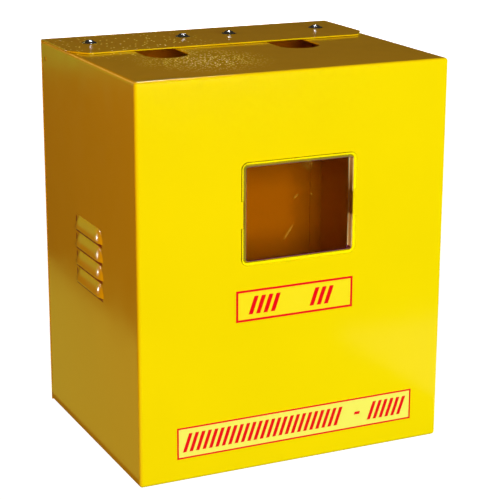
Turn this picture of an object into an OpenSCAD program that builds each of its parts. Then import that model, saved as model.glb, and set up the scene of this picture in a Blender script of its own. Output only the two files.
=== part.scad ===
/* [Cabinet] */
// Outer width across the two sides
body_w = 250; // [240:5:300]
// Outer depth from the front face to the wall
body_d = 200; // [190:5:260]
// Outer height of the cover
body_h = 300; // [290:5:400]
// Thickness of the painted steel sheet
sheet = 1; // [0.8:0.1:1.2]
// Outer radius of every bend
bend_r = 2.5; // [2:0.25:3]
// Width of the stiffening returns at the cover's open rear
return_w = 11; // [8:1:12]
// Gap between the cover and the back panel
gap = 0.3; // [0.3:0.05:0.5]

/* [Top strip] */
// Depth of the strip that the back panel folds over the cover
strip_d = 80; // [75:1:90]
// Length of the strip's corner chamfers across the cabinet
chamfer_x = 11; // [8:1:14]
// Length of the strip's corner chamfers towards the wall
chamfer_y = 16; // [12:1:20]
// Distance from the strip's front edge to the screws
screw_inset = 43; // [38:1:46]
// Distance between the two outer screws
outer_screws = 196; // [190:2:200]
// Distance between the two inner screws
inner_screws = 40; // [36:2:44]

/* [Pipe notches] */
// Distance between the meter's two pipes
pipe_spacing = 110; // [100:5:120]
// Width of each notch
notch_w = 34; // [30:1:38]
// Sideways place of the middle of the two notches
notch_shift = -5.5; // [-6:0.5:6]
// Distance from the front face to the round end of a notch
notch_front = 83; // [75:1:90]

/* [Window] */
// Width of the window cut-out
window_w = 89.5; // [80:0.5:95]
// Height of the window cut-out
window_h = 73; // [65:1:80]
// Sideways place of the window's centre
window_x = 2; // [-4:0.5:4]
// Height of the window's centre
window_z = 198; // [180:0.5:205]
// Width of the clear pane's lip over the sheet
lip_w = 2.2; // [2:0.1:4]
// How far the lip stands in front of the sheet
lip_t = 1.5; // [1:0.25:2]
// How far the pane lies behind the front face
pane_recess = 3.5; // [3:0.5:8]
// Thickness of the clear plastic
pane_t = 1.5; // [1:0.25:2]
// Height of the snap clips at the middle of both sides
clip_h = 20; // [12:1:24]

/* [Labels] */
// Sideways place of the upper label's centre
upper_label_x = -0.5; // [-5:0.5:5]
// Width of the upper label
upper_label_w = 96; // [80:1:110]
// Height of the upper label
upper_label_h = 24; // [20:1:28]
// Height of the upper label's centre
upper_label_z = 129; // [120:1:135]
// Sideways place of the lower label's centre
lower_label_x = 2.7; // [-5:0.1:5]
// Width of the lower label
lower_label_w = 197; // [180:1:205]
// Height of the lower label
lower_label_h = 24.6; // [20:0.2:28]
// Height of the lower label's centre
lower_label_z = 30; // [24:1:40]
// Thickness of the label film
film_t = 0.2; // [0.1:0.05:0.3]

/* [Louvres] */
// Number of louvres in each side
louvre_count = 4; // [2:1:5]
// Length of a louvre
louvre_l = 58; // [50:1:66]
// Height of a louvre
louvre_h = 11; // [9:0.5:12]
// How far a louvre stands out of the side
louvre_reach = 3; // [2.5:0.5:4]
// Distance from one louvre to the next
louvre_pitch = 14; // [13.5:0.5:16]
// Height of the highest louvre's lower edge
louvre_top = 167; // [150:1:180]
// Distance from the front face to the louvres' middle
louvre_y = 98.5; // [90:0.5:110]

/* [Fixings] */
// Diameter of the screws' thread
screw_d = 5; // [4:1:5]
// Diameter of the screws' round heads
head_d = 11.6; // [10:0.2:12]
// Height of the screws' heads
head_h = 2.9; // [2.4:0.1:3.2]
// Length of the screws under the head
screw_l = 10; // [9:1:12]
// Width of the bar that the screws thread into
bar_w = 16; // [12:1:18]
// Thickness of the bar
bar_t = 3; // [2:0.5:4]
// Diameter of the four holes for the wall fixings
wall_hole_d = 9; // [7:0.5:10]
// Distance between the wall holes across the cabinet
wall_hole_x = 188; // [180:2:200]
// Distance between the wall holes up the cabinet
wall_hole_z = 236; // [220:2:240]

/* [Hidden] */
$fn = 64;

cut = 0.01;                                  // overshoot of every cutting solid
front_y = (lip_t - body_d) / 2;              // the whole cabinet, lip included, is centred on Y
rear_y = front_y + body_d;
wall_y = rear_y - sheet;                     // front of the back wall
cover_rear_y = wall_y - gap;
strip_z = body_h + gap;                      // underside of the top strip
strip_y = rear_y - strip_d;
top_z = strip_z + sheet;
bar_z = body_h - sheet - gap - bar_t;
screw_y = strip_y + screw_inset;
screw_x = [-outer_screws / 2, -inner_screws / 2, inner_screws / 2, outer_screws / 2];
head_gap = 0.05;                             // running gap under a screw's head
thread_gap = 0.05;                           // running gap between a screw and the bar
strip_hole_r = screw_d / 2 + 0.3;
slot_r = screw_d / 2 + 0.4;                  // half the width of the cover's open slots
notch_r = notch_w / 2;
notch_x = [notch_shift - pipe_spacing / 2, notch_shift + pipe_spacing / 2];
notch_y = front_y + notch_front + notch_r;   // centre of a notch's round end
relief = return_w + 3;                       // corner relief of the rear returns
lanced = 0.6;                                // gap that the lanced cut leaves under a louvre
louvre_corner = 2.5;                         // corner radius of a louvre seen from the side

window_corner = 3;                           // corner radius of the window cut-out
lip_corner = 4;                              // corner radius of the pane's lip
tray_corner = 1.5;                           // corner radius inside the pane's skirt
pane_fit = 0.3;                              // gap between the pane's skirt and the cut-out
barb_gap = 0.2;                              // gap between a snap barb and the sheet
barb_reach = 1.4;                            // how far a snap barb stands out of the skirt
barb_root = 0.5;                             // how far a snap barb goes into the skirt
barb_l = 3.5;                                // length of a snap barb's taper
barb_inset = 2;                              // how far a barb ends inside the gap in the lip
label_corner = 0.8;

bar_corner = 3;
bar_end = 2;                                 // length of the bar past its outer screws' margin
flange_h = 0.8;                              // height of a screw's flange
flange_w = 1.2;                              // width of a screw's flange round its dome
recess_w = 1.1;                              // width of the cross recess's arms
recess_l = 5;
recess_depth = 1.7;
first_turn = 25;                             // angle of the first screw's recess
next_turn = 40;                              // angle from one screw's recess to the next one's

hang_slot_x = -8;
hang_slot_w = 5;
hang_slot_h = 16;
hang_slot_z = 268;
hang_slot_corner = 2.4;
wall_hole_mid = 150;                         // height of the middle of the wall holes

paint = "gold";
zinc = "silver";

// A flat rectangle with round corners, centred
module round_rect(w, h, r) {
    square([w - 2 * r, h], center = true);
    square([w, h - 2 * r], center = true);
    for (x = [r - w / 2, w / 2 - r])
        for (y = [r - h / 2, h / 2 - r])
            translate([x, y])
                circle(r);
}

// An upright plate with round corners, between two depths
module upright_plate(w, h, r, y_from, y_to) {
    translate([0, y_to, 0])
        rotate([90, 0, 0])
            linear_extrude(y_to - y_from)
                round_rect(w, h, r);
}

// A block whose front edges and long edges are bent round, open to the rear
module bent_block(w, d, h, r) {
    translate([r - w / 2, 0, r])
        cube([w - 2 * r, d, h - 2 * r]);
    translate([-w / 2, r, r])
        cube([w, d - r, h - 2 * r]);
    translate([r - w / 2, r, 0])
        cube([w - 2 * r, d - r, h]);
    for (x = [r - w / 2, w / 2 - r]) {
        translate([x, r, r])
            cylinder(r = r, h = h - 2 * r);
        for (z = [r, h - r])
            translate([x, r, z]) {
                sphere(r = r);
                rotate([-90, 0, 0])
                    cylinder(r = r, h = d - r);
            }
    }
    for (z = [r, h - r])
        translate([r - w / 2, r, z])
            rotate([0, 90, 0])
                cylinder(r = r, h = w - 2 * r);
}

// One louvre's hood on the side at x = 0: a sloping roof cut off by a window with round corners
module hood(reach, height, length) {
    intersection() {
        rotate([90, 0, 0])
            linear_extrude(length, center = true)
                polygon([[-reach, 0], [reach, 0], [0, height]]);
        rotate([90, 0, 90])
            linear_extrude(2 * reach, center = true)
                translate([0, height / 2])
                    round_rect(length, height, louvre_corner);
    }
}

// Puts its child at each louvre of both sides
module at_louvres() {
    for (x = [-body_w / 2, body_w / 2])
        for (i = [0 : louvre_count - 1])
            translate([x, front_y + louvre_y, louvre_top - i * louvre_pitch])
                children();
}

// Shape of one notch from above: a round end that runs straight out to the rear
module pipe_notch() {
    translate([0, notch_y, body_h - bend_r])
        cylinder(r = notch_r, h = 2 * bend_r);
    translate([-notch_r, notch_y, body_h - bend_r])
        cube([notch_w, body_d, 2 * bend_r]);
}

// An open slot that lets the cover slide off a loosened screw
module screw_slot() {
    translate([0, screw_y, body_h - bend_r])
        cylinder(r = slot_r, h = 2 * bend_r);
    translate([-slot_r, screw_y, body_h - bend_r])
        cube([2 * slot_r, body_d, 2 * bend_r]);
}

// The sheet itself; its top stops short of the bend between the back panel's wall and strip
module cover_shell() {
    mouth_reach = louvre_reach - sheet;
    mouth_h = louvre_h * mouth_reach / louvre_reach;
    difference() {
        union() {
            translate([0, front_y, 0])
                bent_block(body_w, cover_rear_y - front_y, body_h, bend_r);
            at_louvres()
                hood(louvre_reach, louvre_h, louvre_l);
        }
        translate([0, front_y + sheet, sheet])
            bent_block(body_w - 2 * sheet, body_d, body_h - 2 * sheet, bend_r - sheet);
        at_louvres()
            translate([0, 0, -lanced])
                hood(mouth_reach, mouth_h, louvre_l - 2 * sheet);
        translate([window_x, 0, window_z])
            upright_plate(window_w, window_h, window_corner, front_y - cut, front_y + sheet + cut);
        for (x = notch_x)
            translate([x, 0, 0])
                pipe_notch();
        for (x = screw_x)
            translate([x, 0, 0])
                screw_slot();
        translate([-body_w, rear_y - bend_r - gap, body_h - bend_r])
            cube([2 * body_w, body_d, 2 * bend_r]);
    }
}

// Returns that stiffen the open rear, one up each side and one along the bottom
module rear_returns() {
    for (x = [-body_w / 2 + sheet / 2, body_w / 2 - sheet / 2 - return_w])
        translate([x, cover_rear_y - sheet, relief])
            cube([return_w, sheet, body_h - 2 * relief]);
    translate([relief - body_w / 2, cover_rear_y - sheet, sheet / 2])
        cube([body_w - 2 * relief, sheet, return_w]);
}

module front_cover() {
    color(paint) {
        cover_shell();
        rear_returns();
    }
}

// Outline of the back panel seen from the side: the wall, the bend and the strip
module back_profile() {
    square([sheet, top_z - bend_r]);
    translate([-(strip_d - sheet), strip_z])
        square([strip_d - bend_r, sheet]);
    translate([sheet - bend_r, top_z - bend_r])
        difference() {
            intersection() {
                circle(bend_r);
                square(bend_r);
            }
            circle(bend_r - sheet);
        }
}

module back_panel() {
    color(paint)
        difference() {
            translate([-body_w / 2, wall_y, 0])
                rotate([90, 0, 90])
                    linear_extrude(body_w)
                        back_profile();
            for (side = [-1, 1])
                translate([0, strip_y, strip_z - cut])
                    linear_extrude(sheet + 2 * cut)
                        polygon([
                            [side * (body_w / 2 - chamfer_x), -cut],
                            [side * (body_w / 2 + cut), -cut],
                            [side * (body_w / 2 + cut), chamfer_y]
                        ]);
            for (x = screw_x)
                translate([x, screw_y, strip_z - cut])
                    cylinder(r = strip_hole_r, h = sheet + 2 * cut);
            for (x = [-wall_hole_x / 2, wall_hole_x / 2])
                for (z = [wall_hole_mid - wall_hole_z / 2, wall_hole_mid + wall_hole_z / 2])
                    translate([x, wall_y - cut, z])
                        rotate([-90, 0, 0])
                            cylinder(d = wall_hole_d, h = sheet + 2 * cut);
            translate([hang_slot_x, 0, hang_slot_z])
                upright_plate(hang_slot_w, hang_slot_h, hang_slot_corner, wall_y - cut, rear_y + cut);
        }
}

// Flat bar under the cover's top with four tapped holes
module nut_bar() {
    bar_l = outer_screws + bar_w + 2 * bar_end;
    color(zinc)
        translate([0, screw_y, bar_z])
            difference() {
                linear_extrude(bar_t)
                    round_rect(bar_l, bar_w, bar_corner);
                for (x = screw_x)
                    translate([x, 0, -cut])
                        cylinder(r = screw_d / 2 + thread_gap, h = bar_t + 2 * cut);
            }
}

// The driver's cross, cut down from the top of a screw's head
module cross_recess() {
    for (turn = [0, 90])
        rotate([0, 0, turn])
            translate([-recess_l / 2, -recess_w / 2, -recess_depth])
                cube([recess_l, recess_w, recess_depth + cut]);
}

// A round-headed screw with a flange, standing on z = 0 with its thread below
module flange_screw() {
    dome_r = head_d / 2 - flange_w;
    dome_h = head_h - flange_h;
    ball_r = (dome_r * dome_r + dome_h * dome_h) / (2 * dome_h);
    color(zinc)
        difference() {
            union() {
                cylinder(d = head_d, h = flange_h);
                intersection() {
                    translate([0, 0, head_h - ball_r])
                        sphere(r = ball_r);
                    cylinder(r = dome_r, h = head_h);
                }
                translate([0, 0, -screw_l])
                    cylinder(d = screw_d, h = screw_l + flange_h / 2);
            }
            translate([0, 0, head_h])
                cross_recess();
        }
}

module screw(i) {
    translate([screw_x[i], screw_y, top_z + head_gap])
        rotate([0, 0, first_turn + next_turn * i])
            flange_screw();
}

// Clear tray that snaps into the cut-out, with a lip in front and a recessed pane
module window_pane() {
    skirt_w = window_w - 2 * pane_fit;
    skirt_h = window_h - 2 * pane_fit;
    back_y = front_y + pane_recess + pane_t;
    color("lightblue", 0.4)
        translate([window_x, 0, window_z]) {
            difference() {
                union() {
                    upright_plate(
                        window_w + 2 * lip_w, window_h + 2 * lip_w, lip_corner, front_y - lip_t, front_y
                    );
                    upright_plate(skirt_w, skirt_h, window_corner, front_y - lip_t, back_y);
                }
                upright_plate(
                    skirt_w - 2 * pane_t, skirt_h - 2 * pane_t, tray_corner,
                    front_y - lip_t - cut, front_y + pane_recess
                );
                for (side = [-1, 1])
                    translate([side * (skirt_w / 2 + lip_w), front_y - lip_t / 2, 0])
                        cube([2 * lip_w, lip_t + 2 * cut, clip_h], center = true);
            }
            for (side = [-1, 1])
                translate([side * skirt_w / 2, front_y + sheet + barb_gap, 0])
                    linear_extrude(clip_h - 2 * barb_inset, center = true)
                        polygon([
                            [-side * barb_root, 0],
                            [side * barb_reach, 0],
                            [-side * barb_root, barb_l]
                        ]);
        }
}

module label(w, h, x, z) {
    color("yellow")
        translate([x, 0, z])
            upright_plate(w, h, label_corner, front_y - film_t, front_y);
}

module upper_label() {
    label(upper_label_w, upper_label_h, upper_label_x, upper_label_z);
}

module lower_label() {
    label(lower_label_w, lower_label_h, lower_label_x, lower_label_z);
}

back_panel();
nut_bar();
screw(0);  // screw_1
screw(1);  // screw_2
screw(2);  // screw_3
screw(3);  // screw_4
front_cover();
window_pane();
upper_label();
lower_label();
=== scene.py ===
"""A yellow sheet-steel cabinet for a gas meter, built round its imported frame.

Folded sheets are grids of quads with their holes left out, bent at the edges and then given
their thickness. Turned pieces are profiles carried round an axis. Lengths are in metres.
"""

import math

import bmesh
import bpy
import numpy as np
from mathutils import Matrix, Vector


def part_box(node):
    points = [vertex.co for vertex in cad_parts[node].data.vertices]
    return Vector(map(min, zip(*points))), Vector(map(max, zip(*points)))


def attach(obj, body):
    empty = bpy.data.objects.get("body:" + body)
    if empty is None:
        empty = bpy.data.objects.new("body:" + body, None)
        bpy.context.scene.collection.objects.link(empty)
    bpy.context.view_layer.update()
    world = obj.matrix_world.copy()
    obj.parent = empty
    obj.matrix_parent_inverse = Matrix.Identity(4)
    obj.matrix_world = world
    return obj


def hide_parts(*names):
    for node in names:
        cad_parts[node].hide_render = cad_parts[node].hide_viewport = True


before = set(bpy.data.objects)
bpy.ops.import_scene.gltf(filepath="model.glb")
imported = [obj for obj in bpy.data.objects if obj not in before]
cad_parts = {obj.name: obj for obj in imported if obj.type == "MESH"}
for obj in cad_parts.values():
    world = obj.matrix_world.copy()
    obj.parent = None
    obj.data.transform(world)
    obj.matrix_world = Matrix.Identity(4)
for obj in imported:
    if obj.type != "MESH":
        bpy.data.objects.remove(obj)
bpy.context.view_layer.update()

# ---------------------------------------------------------------- sizes, from the frame
MM = 0.001
back_low, back_high = (np.array(corner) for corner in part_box("back_panel"))
cover_low, cover_high = (np.array(corner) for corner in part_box("front_cover"))
pane_low, pane_high = (np.array(corner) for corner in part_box("window_pane"))
screw_boxes = [[np.array(corner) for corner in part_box(f"screw_{i}")] for i in (1, 2, 3, 4)]
screw_centres = [(low + high) / 2 for low, high in screw_boxes]

# how near two places count as one, how near two points are merged, a flat sheet's longest cell
TINY = 1e-7
MERGE = 2e-6
CELL = 14 * MM
# edges that turn further than this are bevelled, or left sharp in the shading
BEVEL_ANGLE = math.radians(40)
SHARP_ANGLE = math.radians(38)

HALF_W = back_high[0]
FRONT_Y = cover_low[1]
COVER_REAR_Y = cover_high[1]
REAR_Y = back_high[1]
HEIGHT = cover_high[2]
STRIP_TOP = back_high[2]
STRIP_Y = back_low[1]
SHEET = 1.0 * MM
BEND = 2.5 * MM
GAP = 0.3 * MM
BEND_INSETS = BEND * (1 - np.tan(np.radians(np.linspace(0, 45, 5))))
TOP_END_Y = REAR_Y - BEND - GAP

# the returns along the cover's open rear, and how far they stop short of its corners
RETURN_W = 11.5 * MM
RETURN_CELL = 6 * MM
RELIEF = 14 * MM

# the pipe notches and the screws' slots in the cover's top
NOTCH_R = 17 * MM
NOTCH_X = (-60.5 * MM, 49.5 * MM)
NOTCH_Y = FRONT_Y + 100 * MM
SLOT_R = 2.9 * MM

# the window's cut-out, the tray's gap round its skirt, and the tray's two clips
WINDOW_W = 89.5 * MM
WINDOW_H = 73 * MM
WINDOW_X = (pane_low[0] + pane_high[0]) / 2
WINDOW_Z = (pane_low[2] + pane_high[2]) / 2
WINDOW_CORNER = 3 * MM
TRAY_FIT = 0.3 * MM
CLIP_HALF = 10 * MM
BARB_HALF = 8 * MM
BARB_REACH = 1.2 * MM

# the louvres: the lowest lip, then the dome's size and powers, then the lip's roll and the height
# of the painted shade under it
LOUVRE_LOWEST = 125 * MM
LOUVRE_PITCH = 14 * MM
LOUVRE_COUNT = 4
LOUVRE_H = 11 * MM
LOUVRE_HALF = 29 * MM
LOUVRE_Y = FRONT_Y + 98.5 * MM
LOUVRE_REACH = cover_high[0] - HALF_W
LOUVRE_END = 14 * MM
LOUVRE_TOP_POWER = 1.3
LOUVRE_END_POWER = 3.3
LOUVRE_CROWN_POWER = 0.8
LOUVRE_ROLL = 1.2 * MM
LIP_SLACK = 1e-6
LIP_SHADE_H = 3.0 * MM

# the back panel's holes and its strip's chamfered corners
STRIP_HOLE_R = 2.8 * MM
WALL_HOLE_R = 4.5 * MM
WALL_HOLE_X = 94 * MM
WALL_HOLE_Z = (32 * MM, 268 * MM)
HANG_SLOT = {"x": -8 * MM, "z": 268 * MM, "half_w": 2.5 * MM, "half_h": 8 * MM}
CHAMFER_X = 11 * MM
CHAMFER_Y = 16 * MM

# the screws
SCREW_R = 2.5 * MM
SCREW_PITCH = 0.8 * MM
SCREW_HEAD_H = 2.9 * MM
FLANGE_W = 1.2 * MM
FLANGE_H = 0.8 * MM
DOME_H = 2.1 * MM
THREAD_DEPTH = 0.42 * MM
# the printed bars
INK_PROUD = 0.04 * MM
BAR_LEAN = 0.35


# ---------------------------------------------------------------- surfaces
def stops(low, high, marks, longest):
    """Sorted places from low to high: every mark, and more wherever a step would be too long."""
    every = np.concatenate([[low, high], *[np.atleast_1d(m) for m in marks]])
    fixed = np.unique(np.round(np.clip(every, low, high), 7))
    steps = [fixed[:1]]
    for start, end in zip(fixed[:-1], fixed[1:]):
        count = max(1, math.ceil((end - start) / longest))
        steps.append(np.linspace(start, end, count + 1)[1:])
    return np.concatenate(steps)


def bend_marks(low, high):
    """Places near both ends that land at equal angles once the edge is bent round."""
    return np.concatenate([low + BEND_INSETS, high - BEND_INSETS])


def hole_marks(centre, straight, radius, margin):
    """Places across a hole: its sides, its block's sides, and equal angles round its corners."""
    half = straight + (radius + margin) * np.tan(np.radians([0, 15, 30, 45]))
    return np.concatenate([centre - half, centre + half])


def quads_between(rows):
    """Quads that join each row of point numbers to the next row."""
    a, b = rows[:-1], rows[1:]
    faces = np.stack([a[:, :-1], a[:, 1:], b[:, 1:], b[:, :-1]], axis=-1)
    return faces.reshape(-1, 4)


def ring(us, vs, block, centre, straight, radius, closed=True):
    """Quads between a block's edge and a hole. A point of the edge goes to the hole's outline:
    to the nearest point of the hole's straight core, and out from there by the radius."""
    u0, u1, v0, v1 = block
    across = us[(us > u0 - TINY) & (us < u1 + TINY)]
    along = vs[(vs > v0 - TINY) & (vs < v1 + TINY)]
    sides = [
        np.column_stack([np.full(len(along), u0), along[::-1]]),
        np.column_stack([across[1:], np.full(len(across) - 1, v0)]),
        np.column_stack([np.full(len(along) - 1, u1), along[1:]]),
    ]
    if closed:
        sides.append(np.column_stack([across[::-1][1:], np.full(len(across) - 1, v1)]))
    edge = np.concatenate(sides)
    from_centre = edge - centre
    core = np.clip(from_centre, -np.array(straight), np.array(straight))
    away = from_centre - core
    outline = centre + core + away * radius / np.linalg.norm(away, axis=1, keepdims=True)
    points = np.concatenate([edge, outline])
    rows = np.arange(len(points)).reshape(2, -1)
    return points, quads_between(rows)


def panel(us, vs, blocks=(), rings=(), keep=None):
    """A flat grid over the stops us and vs. Cells inside a block are left out, so are those that
    keep refuses, and each ring closes the gap between its block and its round hole."""
    u, v = np.meshgrid(us, vs, indexing="ij")
    points = [np.column_stack([u.ravel(), v.ravel()])]
    number = np.arange(u.size).reshape(u.shape)
    mid_u, mid_v = np.meshgrid((us[1:] + us[:-1]) / 2, (vs[1:] + vs[:-1]) / 2, indexing="ij")
    wanted = np.ones(mid_u.shape, bool) if keep is None else keep(mid_u, mid_v)
    for u0, u1, v0, v1 in list(blocks) + [r["block"] for r in rings]:
        wanted &= ~((mid_u > u0) & (mid_u < u1) & (mid_v > v0) & (mid_v < v1))
    cells = np.stack([number[:-1, :-1], number[1:, :-1], number[1:, 1:], number[:-1, 1:]], axis=-1)
    faces = [cells[wanted]]
    count = u.size
    for r in rings:
        ring_points, ring_faces = ring(us, vs, **r)
        points.append(ring_points)
        faces.append(ring_faces + count)
        count += len(ring_points)
    return np.concatenate(points), np.concatenate(faces)


def join(parts):
    """Several (points, faces) pairs as one."""
    points, faces, count = [], [], 0
    for part_points, part_faces in parts:
        points.append(part_points)
        faces.append(part_faces + count)
        count += len(part_points)
    return np.concatenate(points), np.concatenate(faces)


def read(items, key, width=3):
    """A value of every vertex or face of a mesh, one row for each."""
    values = np.empty(len(items) * width)
    items.foreach_get(key, values)
    return values.reshape(-1, width)


def outwardness(mesh):
    """The sum over the faces of area times normal times the way from the points' mean: more than
    nothing when most of the faces look outwards."""
    away = read(mesh.polygons, "center") - read(mesh.vertices, "co").mean(axis=0)
    return (read(mesh.polygons, "normal") * away * read(mesh.polygons, "area", 1)).sum()


def new_mesh(name, points, faces, outward=True, caps=(), tint=None):
    """A mesh of quads, caps and a colour for each point, without the points that no face uses, and
    with doubles merged. Its normals agree, and may be turned to face away from its middle."""
    used = np.unique(np.concatenate([faces.ravel(), *caps]))
    corners = np.searchsorted(used, faces).tolist()
    corners += [np.searchsorted(used, cap).tolist() for cap in caps]
    mesh = bpy.data.meshes.new(name)
    mesh.from_pydata(points[used].tolist(), [], corners)
    if tint is not None:
        layer = mesh.attributes.new("tint", "FLOAT_COLOR", "POINT")
        layer.data.foreach_set("color", tint[used].astype(np.float32).ravel())
    work = bmesh.new()
    work.from_mesh(mesh)
    bmesh.ops.remove_doubles(work, verts=work.verts, dist=MERGE)
    bmesh.ops.dissolve_degenerate(work, edges=work.edges, dist=TINY)
    bmesh.ops.recalc_face_normals(work, faces=work.faces)
    work.to_mesh(mesh)
    work.free()
    if outward and outwardness(mesh) < 0:
        mesh.flip_normals()
    return mesh


def placed(name, data):
    """A new object of the scene, at the origin."""
    obj = bpy.data.objects.new(name, data)
    bpy.context.scene.collection.objects.link(obj)
    return obj


def new_piece(name, mesh, body, material, replaces=(), thickness=0, bevel=0):
    """A finished piece: the wall's thickness is added inwards, the cut edges are softened and the
    shading is evened, then it goes on its body with its slot."""
    obj = placed(name, mesh)
    if thickness:
        wall = obj.modifiers.new("wall", "SOLIDIFY")
        wall.thickness = thickness
        wall.offset = -1
        wall.use_even_offset = True
    if bevel:
        soften = obj.modifiers.new("soften", "BEVEL")
        soften.width = bevel
        soften.segments = 2
        soften.limit_method = "ANGLE"
        soften.angle_limit = BEVEL_ANGLE
        soften.use_clamp_overlap = False
    settle(obj)
    obj.data.shade_smooth()
    obj.data.set_sharp_from_angle(angle=SHARP_ANGLE)
    even = obj.modifiers.new("even", "WEIGHTED_NORMAL")
    even.keep_sharp = True
    even.weight = 100
    settle(obj)
    obj.data.materials.clear()
    obj.data.materials.append(material)
    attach(obj, body)
    if replaces:
        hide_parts(*replaces)
    return obj


def settle(obj):
    """Applies the modifiers that obj has."""
    graph = bpy.context.evaluated_depsgraph_get()
    mesh = bpy.data.meshes.new_from_object(obj.evaluated_get(graph))
    obj.modifiers.clear()
    obj.data = mesh


def copy_of(node):
    """A CAD node's own mesh as a new one, with its loose triangles joined."""
    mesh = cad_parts[node].data.copy()
    mesh.materials.clear()
    work = bmesh.new()
    work.from_mesh(mesh)
    bmesh.ops.remove_doubles(work, verts=work.verts, dist=MERGE)
    bmesh.ops.recalc_face_normals(work, faces=work.faces)
    bmesh.ops.dissolve_limit(
        work, angle_limit=math.radians(0.5), verts=work.verts, edges=work.edges
    )
    work.to_mesh(mesh)
    work.free()
    return mesh


# ---------------------------------------------------------------- the front cover
def window_block(margin):
    """The sides of a rectangle that stands the margin outside the window."""
    half_u, half_v = WINDOW_W / 2 + margin, WINDOW_H / 2 + margin
    return (WINDOW_X - half_u, WINDOW_X + half_u, WINDOW_Z - half_v, WINDOW_Z + half_v)


def louvre_swell(y, z):
    """How far a side's sheet is pressed out: the reach times a dome, which is 1 less a power of
    the height over the lip and a power of the nearness to an end, so that its outline has round
    upper corners. Along the lip a quarter circle rolls the reach in."""
    swell = np.zeros_like(y)
    from_end = (LOUVRE_HALF - np.abs(y - LOUVRE_Y)) / LOUVRE_END
    for i in range(LOUVRE_COUNT):
        up = (z - LOUVRE_LOWEST - i * LOUVRE_PITCH) / LOUVRE_H
        fall_up = np.clip(up, 0, 1) ** LOUVRE_TOP_POWER
        fall_out = (1 - np.clip(from_end, 0, 1)) ** LOUVRE_END_POWER
        dome = np.clip(1 - fall_up - fall_out, 0, 1) ** LOUVRE_CROWN_POWER
        short = np.clip(LOUVRE_ROLL - up * LOUVRE_H, 0, LOUVRE_ROLL)
        rolled = LOUVRE_ROLL - np.sqrt(LOUVRE_ROLL**2 - short**2)
        pressed = np.maximum(LOUVRE_REACH - rolled, 0) * dome
        swell += np.where(up >= -LIP_SLACK, pressed, 0)
    return swell


def cover_points(points):
    """Bends a sharp open box's edges round: each point goes to the ball of the bend's radius
    round the nearest point of the box shrunk by that radius. The rear edges stay sharp."""
    far_behind = 10.0
    low = np.array([-HALF_W + BEND, FRONT_Y + BEND, BEND])
    high = np.array([HALF_W - BEND, far_behind, HEIGHT - BEND])
    inner = np.clip(points, low, high)
    away = points - inner
    length = np.maximum(np.linalg.norm(away, axis=1, keepdims=True), 1e-12)
    return inner + away * BEND / length


def return_runs():
    """Distances along a sheet to the end of its rear return, close together round the bend."""
    start = COVER_REAR_Y - BEND
    end = start + BEND * math.pi / 2 + RETURN_W - BEND
    return stops(start, end, [start + BEND * np.linspace(0, math.pi / 2, 7)], RETURN_CELL)


def return_path(run):
    """Round the rear edge: straight until the bend, a quarter circle, then straight inwards.
    Gives the distance in from the outer face and the depth."""
    start = COVER_REAR_Y - BEND
    angle = np.clip((run - start) / BEND, 0, math.pi / 2)
    inwards = np.clip(run - start - BEND * math.pi / 2, 0, None)
    depth = np.minimum(run, start) + BEND * np.sin(angle)
    return BEND * (1 - np.cos(angle)) + inwards, depth


def cover_side(sign, ys, zs):
    """One side in bands that meet at the louvres' lips, so that a lip stays open below."""
    lips = [LOUVRE_LOWEST + i * LOUVRE_PITCH for i in range(LOUVRE_COUNT)]
    borders = [0, *lips, HEIGHT]
    parts = []
    for low, high in zip(borders[:-1], borders[1:]):
        band = zs[(zs > low - TINY) & (zs < high + TINY)]
        flat, faces = panel(
            ys, band,
            keep=lambda y, z: ~((y > TOP_END_Y) & (z > HEIGHT - BEND))
            & ~((y > COVER_REAR_Y - BEND) & (z > RELIEF) & (z < HEIGHT - RELIEF)),
        )
        upper = flat[:, 1] < high - TINY if high < HEIGHT else np.ones(len(flat), bool)
        swell = np.where(upper, louvre_swell(flat[:, 0], flat[:, 1]), 0)
        sharp = np.column_stack([np.full(len(flat), sign * HALF_W), flat])
        bent = cover_points(sharp)
        bent[:, 0] += sign * swell
        parts.append((bent, faces))
    band = zs[(zs > RELIEF - TINY) & (zs < HEIGHT - RELIEF + TINY)]
    flat, faces = panel(return_runs(), band)
    inwards, depth = return_path(flat[:, 0])
    parts.append((np.column_stack([sign * (HALF_W - inwards), depth, flat[:, 1]]), faces))
    return join(parts)


def cover_bottom(xs, ys):
    """The bottom with the return that turns up along its rear edge."""
    flat, faces = panel(
        xs, ys,
        keep=lambda x, y: ~((y > COVER_REAR_Y - BEND) & (np.abs(x) < HALF_W - RELIEF)),
    )
    bottom = cover_points(np.column_stack([flat, np.zeros(len(flat))]))
    across = xs[np.abs(xs) < HALF_W - RELIEF + TINY]
    lip, lip_faces = panel(across, return_runs())
    upwards, depth = return_path(lip[:, 1])
    return join([(bottom, faces), (np.column_stack([lip[:, 0], depth, upwards]), lip_faces)])


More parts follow.
